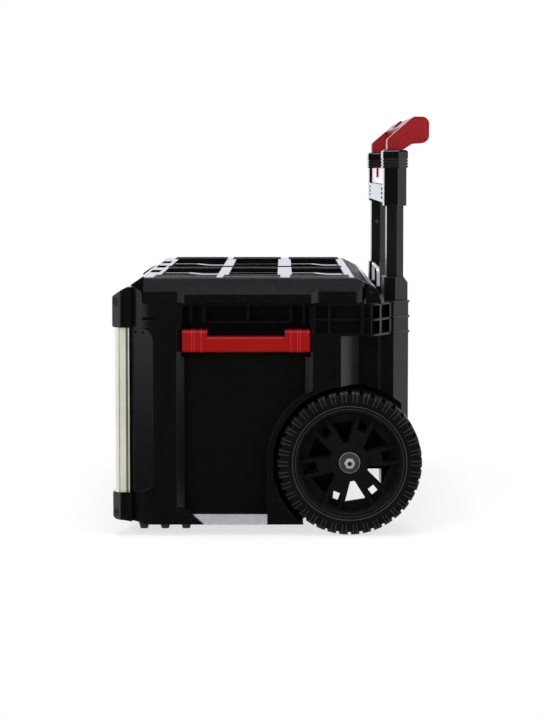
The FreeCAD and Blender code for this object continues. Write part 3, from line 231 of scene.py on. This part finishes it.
moulded = {
    "boxBlack": dict(dark=(0.0022, 0.0022, 0.0025), light=(0.0046, 0.0046, 0.0051), gloss=(0.21, 0.27)),
    # lighter copy of boxBlack for bevels and lines: painted highlight
    "boxEdgeHighlight": dict(dark=(0.016, 0.016, 0.018), light=(0.034, 0.034, 0.037), gloss=(0.20, 0.28), level=0.5),
    "handleRed": dict(dark=(0.255, 0.0012, 0.0011), light=(0.32, 0.0026, 0.0024), gloss=(0.36, 0.50), level=0.12),
    # lighter red for bevels, collar rings and latch ribs: painted highlight
    "handleRedHighlight": dict(dark=(0.40, 0.008, 0.007), light=(0.52, 0.020, 0.016), gloss=(0.30, 0.44), level=0.3),
    "gripRed": dict(dark=(0.24, 0.0075, 0.0095), light=(0.30, 0.0115, 0.0145), gloss=(0.30, 0.44), level=0.22),
    # lighter red for bevels and the grip's bead: painted highlight
    "gripRedHighlight": dict(dark=(0.30, 0.014, 0.016), light=(0.40, 0.026, 0.026), gloss=(0.26, 0.38), level=0.4),
    "braceRed": dict(dark=(0.30, 0.012, 0.014), light=(0.38, 0.018, 0.020), gloss=(0.14, 0.22), level=0.5),
    "tyreRubber": dict(dark=(0.0034, 0.0030, 0.0027), light=(0.0066, 0.0062, 0.0058), gloss=(0.36, 0.50),
                       grain=(700, 0.2), level=0.08),
    # lighter rubber for the sipes, bead ring and rim line: painted highlight
    "tyreLineHighlight": dict(dark=(0.022, 0.021, 0.020), light=(0.060, 0.058, 0.055), gloss=(0.36, 0.50),
                     grain=(700, 0.2), level=0.12),
    "rimBlack": dict(dark=(0.0030, 0.0030, 0.0033), light=(0.0066, 0.0066, 0.0071), gloss=(0.26, 0.40), level=0.35),
    "bushGrey": dict(dark=(0.05, 0.05, 0.05), light=(0.09, 0.09, 0.088), gloss=(0.4, 0.55)),
    "zincSteel": dict(dark=(0.46, 0.45, 0.40), light=(0.70, 0.69, 0.63), gloss=(0.22, 0.38),
                      grain=(1600, 0.06), level=0.5, cloud=120, metal=0.55),
    "archSteel": dict(dark=(0.74, 0.74, 0.73), light=(0.94, 0.94, 0.92), gloss=(0.14, 0.26),
                      grain=(1600, 0.05), level=0.5, cloud=120, metal=0.45),
    "zincDull": dict(dark=(0.046, 0.045, 0.036), light=(0.088, 0.085, 0.069), gloss=(0.26, 0.42),
                     grain=(1600, 0.06), level=0.5, cloud=90, metal=0.35),
    "darkSteel": dict(dark=(0.012, 0.012, 0.013), light=(0.03, 0.03, 0.032), gloss=(0.3, 0.5),
                      grain=(1500, 0.1), level=0.4, cloud=90, metal=0.6),
    "sealRubber": dict(dark=(0.012, 0.012, 0.012), light=(0.024, 0.023, 0.022), gloss=(0.7, 0.85), level=0.15),
    # darker than boxBlack so the plugs read as recesses: painted shade
    "plugPaintedShade": dict(dark=(0.0012, 0.0012, 0.0014), light=(0.0026, 0.0026, 0.0028), gloss=(0.6, 0.8), level=0.06),
    "buttonGrey": dict(dark=(0.012, 0.012, 0.013), light=(0.022, 0.022, 0.024), gloss=(0.36, 0.5), level=0.3),
}
drawn = {
    "cornerMetal": dict(dark=(0.70, 0.70, 0.58), light=(0.86, 0.86, 0.74), gloss=(0.34, 0.46), metal=0.35),
    # lighter copy for the profiles' bevels: painted highlight
    "cornerMetalHighlight": dict(dark=(0.74, 0.74, 0.64), light=(0.90, 0.90, 0.80), gloss=(0.26, 0.36), metal=0.35),
    "tubeBlack": dict(dark=(0.0035, 0.0035, 0.0045), light=(0.009, 0.009, 0.011), gloss=(0.26, 0.38),
                      metal=0.0, level=0.35),
    "innerTube": dict(dark=(0.30, 0.30, 0.31), light=(0.46, 0.46, 0.47), gloss=(0.28, 0.42)),
    # dark olive on the flute and score-line floors: painted shade
    "flutePaintedShade": dict(dark=(0.13, 0.13, 0.085), light=(0.22, 0.22, 0.16), gloss=(0.4, 0.55), metal=0.35),
}
finish = {name: mouldedFinish(name, **look) for name, look in moulded.items()}
finish.update({name: drawnMetal(name, **look) for name, look in drawn.items()})
print("finishes mixed:", len(finish))

# CAD nodes: finish, lighter edge finish painted on the bevels as a highlight, bevel width in metres
sides = {"right": 1, "left": -1}
dress = {
    "tub": ("boxBlack", "boxEdgeHighlight", 0.0010),
    "lid": ("boxBlack", "boxEdgeHighlight", 0.0010),
    "cross_brace": ("boxBlack", "boxEdgeHighlight", 0.0010),
    "grip": ("gripRed", "gripRedHighlight", 0.0012),
    "brace_panel": ("braceRed", "gripRedHighlight", 0.0012),
    "grab_arch": ("archSteel", None, 0.0008),
    "lid_seal": ("sealRubber", None, 0.0003),
    "latch_pins": ("zincSteel", None, 0.0002),
    "hinge_rod": ("darkSteel", None, 0.0003),
    "axle": ("zincSteel", None, 0.0004),
    "cap_screws": ("darkSteel", None, 0.0002),
    "wheel_spacers": ("bushGrey", None, 0.0003),
    # washers' bevels in the brighter zincSteel: painted highlight on their rims
    "wheel_washers": ("zincDull", "zincSteel", 0.0006),
    "wheel_nuts": ("zincSteel", None, 0.0004),
    "release_button": ("buttonGrey", None, 0.0006),
}
paired = {
    "upper_corner_cap": ("boxBlack", "boxEdgeHighlight", 0.0007),
    "lower_corner_cap": ("boxBlack", "boxEdgeHighlight", 0.0007),
    "front_foot": ("boxBlack", "boxEdgeHighlight", 0.0007),
    "tube_socket": ("boxBlack", "boxEdgeHighlight", 0.0007),
    "tube_sleeve": ("boxBlack", "boxEdgeHighlight", 0.0007),
    "tube_collar": ("boxBlack", "boxEdgeHighlight", 0.0007),
    "side_handle": ("handleRed", "handleRedHighlight", 0.0008),
    "front_latch": ("handleRed", "handleRedHighlight", 0.0008),
    "corner_profile": ("cornerMetal", "cornerMetalHighlight", 0.0004),
    "side_handle_pins": ("darkSteel", None, 0.0002),
    "tyre": ("tyreRubber", None, 0.0006),
    "wheel_rim": ("rimBlack", "boxEdgeHighlight", 0.0007),
    "wheel_bush": ("bushGrey", None, 0.0003),
    "outer_tube": ("tubeBlack", None, 0.0005),
    "inner_tube": ("innerTube", None, 0.0003),
    "lock_housing": ("buttonGrey", None, 0.0003),
    "lock_plunger": ("darkSteel", None, 0.0002),
}
for piece, look in paired.items():
    for side in sides:
        dress[piece + "_" + side] = look

# welded facets, rounded edges, and shading split by angle as a small node modifier
softening = dict(weld=0.00002, flatTo=0.6, bevelFrom=34, segments=2, smoothTo=31, crispTo=17)
crispNodes = ("tub", "lid")  # big mouldings with shallow facets


def splitByAngle(name, limit):
    tree = bpy.data.node_groups.new(name, "GeometryNodeTree")
    for way in ("INPUT", "OUTPUT"):
        tree.interface.new_socket("Geometry", in_out=way, socket_type="NodeSocketGeometry")
    given = put(tree, "NodeGroupInput")
    allFaces = put(tree, "GeometryNodeSetShadeSmooth", {"Geometry": given.outputs[0]}, domain="FACE")
    angle = put(tree, "GeometryNodeInputMeshEdgeAngle")
    soft = put(tree, "FunctionNodeCompare", {0: angle.outputs["Unsigned Angle"], 1: math.radians(limit)},
               operation="LESS_EQUAL")
    edgesSet = put(tree, "GeometryNodeSetShadeSmooth", {"Geometry": allFaces.outputs[0],
                                                        "Shade Smooth": soft.outputs[0]}, domain="EDGE")
    put(tree, "NodeGroupOutput", {0: edgesSet.outputs[0]})
    return tree


smoothBy = splitByAngle("smoothByAngle", softening["smoothTo"])
crispBy = splitByAngle("crispByAngle", softening["crispTo"])


def roundEdges(obj, width, edgeHighlightSlot, splitTree):
    weld = obj.modifiers.new("weld", "WELD")
    weld.merge_threshold = softening["weld"]
    flat = obj.modifiers.new("flatFaces", "DECIMATE")
    flat.decimate_type = "DISSOLVE"
    flat.angle_limit = math.radians(softening["flatTo"])
    bevel = obj.modifiers.new("softEdge", "BEVEL")
    bevel.width = width
    bevel.segments = softening["segments"]
    bevel.limit_method = "ANGLE"
    bevel.angle_limit = math.radians(softening["bevelFrom"])
    bevel.use_clamp_overlap = True
    # bevel faces take the lighter slot: painted highlight
    bevel.material = edgeHighlightSlot
    split = obj.modifiers.new("splitByAngle", "NODES")
    split.node_group = splitTree
    even = obj.modifiers.new("evenNormals", "WEIGHTED_NORMAL")
    even.keep_sharp = True


for name, (skin, edgeHighlightSkin, width) in dress.items():
    obj = nodes[name]
    obj.data.materials.clear()
    obj.data.materials.append(finish[skin])
    if edgeHighlightSkin:
        obj.data.materials.append(finish[edgeHighlightSkin])
    roundEdges(obj, width, 1 if edgeHighlightSkin else -1, crispBy if name in crispNodes else smoothBy)
print("CAD pieces dressed:", len(dress), "of", len(nodes))

# small moulded details, drawn in millimetres, each on the body that carries it
mm = 0.001


def inMm(values):
    return Vector([round(value / mm, 2) for value in values])


def corners(node):
    # lowest and highest corner of a CAD node
    return [inMm(corner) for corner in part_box(node)]


def addPiece(name, bm, skin, body, soft=0.0, segments=2):
    mesh = bpy.data.meshes.new(name)
    bmesh.ops.recalc_face_normals(bm, faces=bm.faces)
    bm.to_mesh(mesh)
    bm.free()
    mesh.materials.append(finish[skin])
    obj = bpy.data.objects.new(name, mesh)
    scene.collection.objects.link(obj)
    if soft:
        bevel = obj.modifiers.new("softEdge", "BEVEL")
        bevel.width = soft * mm
        bevel.segments = segments
        bevel.limit_method = "ANGLE"
    split = obj.modifiers.new("smoothByAngle", "NODES")
    split.node_group = smoothBy
    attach(obj, body)


def vert(bm, point):
    return bm.verts.new(Vector(point) * mm)


def joinRings(bm, rings, close=""):
    # faces from each ring of vertices to the next, then end caps or a loop back to the first ring
    for a, b in zip(rings, rings[1:] + (rings[:1] if close == "loop" else [])):
        steps = max(len(a), len(b))
        for i in range(steps):
            k = (i + 1) % steps
            face = [a[i % len(a)], a[k % len(a)], b[k % len(b)], b[i % len(b)]]
            bm.faces.new(list(dict.fromkeys(face)))  # a ring of one vertex gives triangles
    if close == "caps":
        bm.faces.new(rings[0])
        bm.faces.new(rings[-1][::-1])


def prism(bm, loop, depth):
    # closed loop of points pushed along a vector
    joinRings(bm, [[vert(bm, Vector(p) + shift) for p in loop] for shift in (Vector(), Vector(depth))], "caps")


def frameStrip(bm, outer, inner, depth):
    # flat frame between two loops of equal count, with thickness
    near, far = Vector(), Vector(depth)
    rings = [[vert(bm, Vector(p) + shift) for p in loop]
             for loop, shift in ((outer, near), (inner, near), (inner, far), (outer, far))]
    joinRings(bm, rings, "loop")


def circle(bm, x, radius, centre, steps):
    # ring round a line along X, or one vertex where the radius is 0
    y, z = centre
    turns = [2 * math.pi * i / steps for i in range(steps if radius else 1)]
    return [vert(bm, (x, y + radius * math.sin(a), z + radius * math.cos(a))) for a in turns]


def lathe(bm, profile, centre, sign, steps):
    joinRings(bm, [circle(bm, sign * x, r, centre, steps) for x, r in profile])


def insetLoop(points, by):
    # 2D loop moved inwards, sides kept parallel
    n = len(points)
    area = sum(points[i - 1][0] * points[i][1] - points[i][0] * points[i - 1][1] for i in range(n))
    turn = 1 if area > 0 else -1
    sharpest = 0.3  # keeps a pointed corner from running away
    moved = []
    for i in range(n):
        a, b, c = (Vector(points[k % n]) for k in (i - 1, i, i + 1))
        d1, d2 = (b - a).normalized(), (c - b).normalized()
        n1, n2 = Vector((-d1.y, d1.x)) * turn, Vector((-d2.y, d2.x)) * turn
        half = (n1 + n2).normalized()
        moved.append(tuple(b + half * (by / max(sharpest, half.dot(n1)))))
    return moved


def roundLoop(points, steps=5):
    # corners given as (a, b, radius) become arcs, those of radius 0 stay sharp
    loop = []
    places = [Vector(point[:2]) for point in points]
    for i, (here, r) in enumerate(zip(places, (point[2] for point in points))):
        if not r:
            loop.append(tuple(here))
            continue
        d1 = (places[i - 1] - here).normalized()
        d2 = (places[(i + 1) % len(places)] - here).normalized()
        half = d1.angle(d2) / 2
        start, end = here + d1 * (r / math.tan(half)), here + d2 * (r / math.tan(half))
        mid = here + (d1 + d2).normalized() * (r / math.sin(half))
        for s in range(steps + 1):
            q = start.lerp(end, s / steps)
            loop.append(tuple(mid + (q - mid).normalized() * r))
    return loop


# thin collar rings round the end blocks of the side handles, in the lighter red of the painted edge highlight; rounds
# go from the inner low corner outwards
handleRings = dict(places=(12.3, 15.7, 25.2), width=1.3, proud=0.45, bury=0.8, rounds=(5, 6, 7, 3), soft=0.3)
low, high = corners("side_handle_right")
section = [(low.x, low.z), (high.x, low.z), (high.x, high.z), (low.x, high.z)]
section = roundLoop([(x, z, r) for (x, z), r in zip(section, handleRings["rounds"])])
grown, shrunk = insetLoop(section, -handleRings["proud"]), insetLoop(section, handleRings["bury"])
for side, sign in sides.items():
    bm = bmesh.new()
    for off in handleRings["places"]:
        for y in (low.y + off, high.y - off - handleRings["width"]):
            outer, inner = ([(sign * x, y, z) for x, z in loop] for loop in (grown, shrunk))
            frameStrip(bm, outer, inner, (0, handleRings["width"], 0))
    addPiece("handleRings_" + side, bm, "handleRedHighlight", "side_handle_" + side, handleRings["soft"])

# raised panels on the grip's arms with a bead in lighter red as a painted highlight; arm outline: back from the
# front, down from the top, radius
gripSide = dict(arm=((0, 45.7, 0), (0, 31.2, 5), (36.5, 0, 7), (58.0, 0, 10), (58.0, 36.2, 11), (34.5, 37.7, 6),
                     (22.5, 45.7, 0)),
                inset=5.5, proud=0.7, bury=0.3, soft=0.6, segments=3, line=1.1, lineProud=0.35, lineBury=0.2,
                lineSoft=0.3)
low, high = corners("grip")
armLoop = roundLoop([(low.y + back, high.z - down, r) for back, down, r in gripSide["arm"]])
panel = insetLoop(armLoop, gripSide["inset"])
bead = insetLoop(armLoop, gripSide["inset"] - gripSide["line"])
for side, sign in sides.items():
    bm = bmesh.new()
    x = sign * (high.x - gripSide["bury"])
    prism(bm, [(x, y, z) for y, z in panel], (sign * (gripSide["bury"] + gripSide["proud"]), 0, 0))
    addPiece("gripPanel_" + side, bm, "gripRed", "pull_handle", gripSide["soft"], gripSide["segments"])
    bm = bmesh.new()
    x = sign * (high.x - gripSide["lineBury"])
    outer, inner = ([(x, y, z) for y, z in loop] for loop in (bead, panel))
    frameStrip(bm, outer, inner, (sign * (gripSide["lineBury"] + gripSide["lineProud"]), 0, 0))
    addPiece("gripLine_" + side, bm, "gripRedHighlight", "pull_handle", gripSide["lineSoft"])

# radial sipes in pairs over the tyre's shoulder, and a bead ring on its dished wall, in lighter rubber as painted
# highlights: off the bead's middle, lift
tyreMarks = dict(sipes=38, firstAt=0.30, pairBy=0.36, wide=0.9, proud=0.35, bury=0.4, rootR=84.5, shoulder=9.0,
                 tipTurn=52, tipSteps=6, beadR=78.6, bead=((-0.9, -0.3), (-0.45, 0.45), (0.45, 0.45), (0.9, -0.3)),
                 beadSides=96, dishDeep=2.0, dishWide=7.0)
axle = inMm(joints["wheel_right_spin"]["pos_m"]).yz
wheelR = axle[1]  # the wheel stands on the ground
rimFace, rimR = corners("wheel_rim_right")[1].x, corners("wheel_rim_right")[1].z - axle[1]
wall = corners("tyre_right")[1].x
bend = wheelR - tyreMarks["shoulder"]
sipePath = [(wall, tyreMarks["rootR"], 0)]  # x, radius, lean of the surface
for step in range(tyreMarks["tipSteps"] + 1):
    a = math.radians(tyreMarks["tipTurn"] * step / tyreMarks["tipSteps"])
    sipePath.append((wall + tyreMarks["shoulder"] * (math.cos(a) - 1), bend + tyreMarks["shoulder"] * math.sin(a), a))
proud, bury = tyreMarks["proud"], tyreMarks["bury"]
sipeEdges = ((-bury, -1), (proud, -1), (proud, 1), (-bury, 1))
for side, sign in sides.items():
    bm = bmesh.new()
    for i in range(tyreMarks["sipes"]):
        for part in (tyreMarks["firstAt"], tyreMarks["firstAt"] + tyreMarks["pairBy"]):
            turn = 2 * math.pi * (i + part) / tyreMarks["sipes"]
            rows = []
            for x, r, a in sipePath:
                row = []
                for lift, way in sipeEdges:
                    out = r + math.sin(a) * lift
                    t = turn + way * tyreMarks["wide"] / 2 / out
                    row.append(vert(bm, (sign * (x + math.cos(a) * lift),
                                         axle[0] + out * math.sin(t), axle[1] + out * math.cos(t))))
                rows.append(row)
            joinRings(bm, rows, "caps")
    loops = []
    for off, lift in tyreMarks["bead"]:
        r = tyreMarks["beadR"] + off
        x = wall - tyreMarks["dishDeep"] + (r - rimR) * tyreMarks["dishDeep"] / tyreMarks["dishWide"] + lift
        loops.append(circle(bm, sign * x, r, axle, tyreMarks["beadSides"]))
    joinRings(bm, loops, "loop")
    addPiece("tyreMarks_" + side, bm, "tyreLineHighlight", "wheel_" + side)

# finger ribs on the front latches, in the lighter red of the painted edge highlight, placed from the latch's hinge
latchRibs = dict(half=21.0, barrel=4.0, down=24.5, pitch=4.4, count=4, tall=1.8, proud=0.8, bury=0.4, slope=0.5,
                 soft=0.3)
hinge = inMm(joints["latch_right_hinge"]["pos_m"])
face = hinge.y - latchRibs["barrel"]
back, front = face + latchRibs["bury"], face - latchRibs["proud"]
for side, sign in sides.items():
    bm = bmesh.new()
    x = sign * hinge.x - latchRibs["half"]
    for i in range(latchRibs["count"]):
        z = hinge.z - latchRibs["down"] - i * latchRibs["pitch"]
        top, slope = z + latchRibs["tall"], latchRibs["slope"]
        loop = [(x, back, z), (x, front, z + slope), (x, front, top - slope), (x, back, top)]
        prism(bm, loop, (2 * latchRibs["half"], 0, 0))
    addPiece("latchRibs_" + side, bm, "handleRedHighlight", "latch_" + side, latchRibs["soft"])

# painted highlight line where the rim's lip meets the tyre
rimLine = dict(inFromLip=1.4, wide=0.9, crown=0.6, proud=0.35, bury=0.4, steps=128)
r, w = rimR - rimLine["inFromLip"], rimLine["wide"] / 2
foot, crest, crown = rimFace - rimLine["bury"], rimFace + rimLine["proud"], w * rimLine["crown"]
for side, sign in sides.items():
    bm = bmesh.new()
    lathe(bm, [(foot, r - w), (crest, r - crown), (crest, r + crown), (foot, r + w)], axle, sign, rimLine["steps"])
    addPiece("rimLine_" + side, bm, "tyreLineHighlight", "wheel_" + side)

# two small plugs at the top of each scooped pillar, darker than the box as painted shade of a recess: back from the
# profile, down from its top
plugs = dict(places=((8.5, 6.5), (18.5, 7.5)), radius=1.7, rise=0.5, bury=1.5, crown=((0.3, 0.7), (0.4, 0)), steps=20,
             scoopDepth=11.0, scoopLip=2.0, scoopLength=32.5)
profileLow, profileHigh = corners("corner_profile_right")
lean = (plugs["scoopDepth"] - plugs["scoopLip"]) / plugs["scoopLength"]
for side, sign in sides.items():
    bm = bmesh.new()
    for back, down in plugs["places"]:
        x = profileHigh.x - plugs["scoopDepth"] + back * lean
        r, end = plugs["radius"], x + plugs["rise"]
        outline = [(x - plugs["bury"], r), (end, r)] + [(end + out, r * share) for out, share in plugs["crown"]]
        lathe(bm, outline, (profileHigh.y + back, profileHigh.z - down), sign, plugs["steps"])
    addPiece("pillarPlugs_" + side, bm, "plugPaintedShade", "box")

# painted shade on the floors of the flute and of the score line in the corner profiles: setback, width, depth
flutes = dict(strips=((1.5, 3.1, 2.0), (13.05, 0.7, 0.8)), lift=0.25, bury=0.2, slope=0.1, short=0.5)
z = profileLow.z + flutes["short"]
tall = profileHigh.z - flutes["short"] - z
for side, sign in sides.items():
    bm = bmesh.new()
    for setback, wide, deep in flutes["strips"]:
        floorX = profileHigh.x - deep
        under, over = sign * (floorX - flutes["bury"]), sign * (floorX + flutes["lift"])
        y, slope = profileHigh.y - setback, flutes["slope"]
        y2 = y - wide
        prism(bm, [(under, y, z), (over, y - slope, z), (over, y2 + slope, z), (under, y2, z)], (0, 0, tall))
    addPiece("fluteFloor_" + side, bm, "flutePaintedShade", "box")

# painted highlights along the upper edges of the three ribs that run round the tube columns
bandLines = dict(drops=(42.0, 21.0, 0), tall=1.2, proud=0.3, bury=0.5, half=32.5, chamfer=22.9, start=25.5, end=9.0,
                 out=((1, 0), (1, 0.414), (0.414, 1), (0, 1)), soft=0.15)
tubeX = sum(corner.x for corner in corners("outer_tube_right")) / 2
columnX, columnY = tubeX + bandLines["half"], corners("tub")[1].y
rim = corners("tube_socket_right")[0].z  # the sockets stand on the rim
bandPath = ((columnX, columnY - bandLines["start"]), (columnX, columnY - bandLines["chamfer"]),
            (columnX - bandLines["chamfer"], columnY), (tubeX - bandLines["end"], columnY))
proud, bury = bandLines["proud"], bandLines["bury"]
for side, sign in sides.items():
    bm = bmesh.new()
    for drop in bandLines["drops"]:
        top, under = rim - drop, rim - drop - bandLines["tall"]
        section = ((-bury, top), (proud, top), (proud, under), (-bury, under))
        rows = [[vert(bm, (sign * (x + outX * by), y + outY * by, z)) for by, z in section]
                for (x, y), (outX, outY) in zip(bandPath, bandLines["out"])]
        joinRings(bm, rows, "caps")
    addPiece("bandLines_" + side, bm, "boxEdgeHighlight", "box", bandLines["soft"])

# low lips along the lid's pockets and a rib on the floor of each middle pocket: outer x, down from the top, rise
lidLips = dict(rows=((241.5, 0, 1.3), (208.0, 0, 1.3), (12.5, 2.5, 1.0)), rib=(108.0, 8.0, 5.5),
               spans=((-163.0, -77.0), (-68.0, 11.0), (24.0, 106.0)), ribSpan=(-61.8, 6.8), wide=2.4, bury=0.5,
               draft=0.3, soft=0.3)
lidTop = corners("lid")[1].z
bars = [(row, span) for row in lidLips["rows"] for span in lidLips["spans"]] + [(lidLips["rib"], lidLips["ribSpan"])]
for side, sign in sides.items():
    bm = bmesh.new()
    for (x, down, rise), (start, end) in bars:
        x2, draft, foot = x - lidLips["wide"], lidLips["draft"], lidTop - down
        z, top = foot - lidLips["bury"], foot + rise
        loop = [(x, z), (x - draft, top), (x2 + draft, top), (x2, z)]
        prism(bm, [(sign * across, start, height) for across, height in loop], (0, end - start, 0))
    addPiece("lidLips_" + side, bm, "boxBlack", "lid", lidLips["soft"])

# rolled face of each axle nut in bright steel as a painted highlight, and the end of the stud in it in dark steel as
# painted shade
nutFace = dict(ring=(4.15, 6.2), crest=(4.45, 5.8), proud=0.25, bury=0.55, steps=40)
studEnd = dict(radius=2.9, tip=0.5, proud=0.1, bury=0.6, steps=32)
nutX, studX = corners("wheel_nuts")[1].x, corners("axle")[1].x
foot, crest = nutX - nutFace["bury"], nutX + nutFace["proud"]
(r1, r4), (r2, r3) = nutFace["ring"], nutFace["crest"]
nutOutline = [(foot, r1), (crest, r2), (crest, r3), (foot, r4)]
r, tip = studEnd["radius"], studX + studEnd["proud"]
studOutline = [(studX - studEnd["bury"], r), (studX, r), (tip, r * studEnd["tip"]), (tip, 0)]
for side, sign in sides.items():
    bm = bmesh.new()
    lathe(bm, nutOutline, axle, sign, nutFace["steps"])
    addPiece("nutFace_" + side, bm, "archSteel", "box")
    bm = bmesh.new()
    lathe(bm, studOutline, axle, sign, studEnd["steps"])
    addPiece("studEnd_" + side, bm, "darkSteel", "box")
